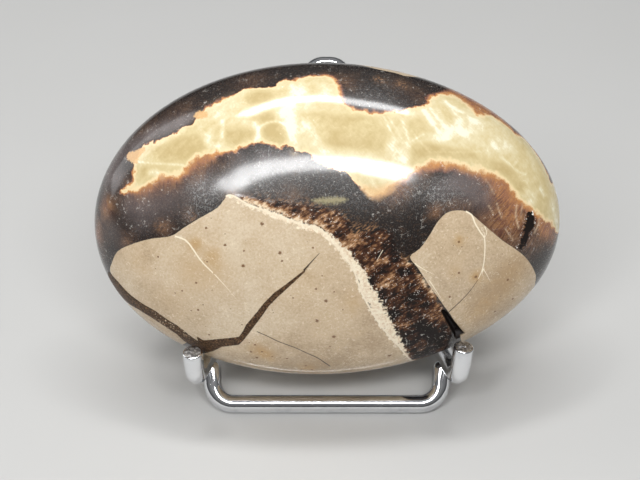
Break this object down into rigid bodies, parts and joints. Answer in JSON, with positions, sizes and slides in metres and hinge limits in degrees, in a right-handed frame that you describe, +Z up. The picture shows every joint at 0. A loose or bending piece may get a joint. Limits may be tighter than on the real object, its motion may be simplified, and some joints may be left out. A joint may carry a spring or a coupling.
{
  "type": "septarian nodule",
  "caption": "Polished septarian nodule, a flattened oval stone with calcite and brown veins, leaning back on a small easel stand of bent chrome wire.",
  "frame": {"origin": "centre of the object's own box, on the surface it stands on", "axes": "+X across the stone's width, +Y to the back, +Z up"},
  "size_m": [0.074, 0.041, 0.0526],
  "materials": {
    "polished_septarian": "polished",
    "chrome_wire": "bright plated"
  },
  "bodies": {
    "root": {"septarian_nodule": "polished_septarian", "back_wire": "chrome_wire", "foot_wire": "chrome_wire"}
  },
  "joints": []
}
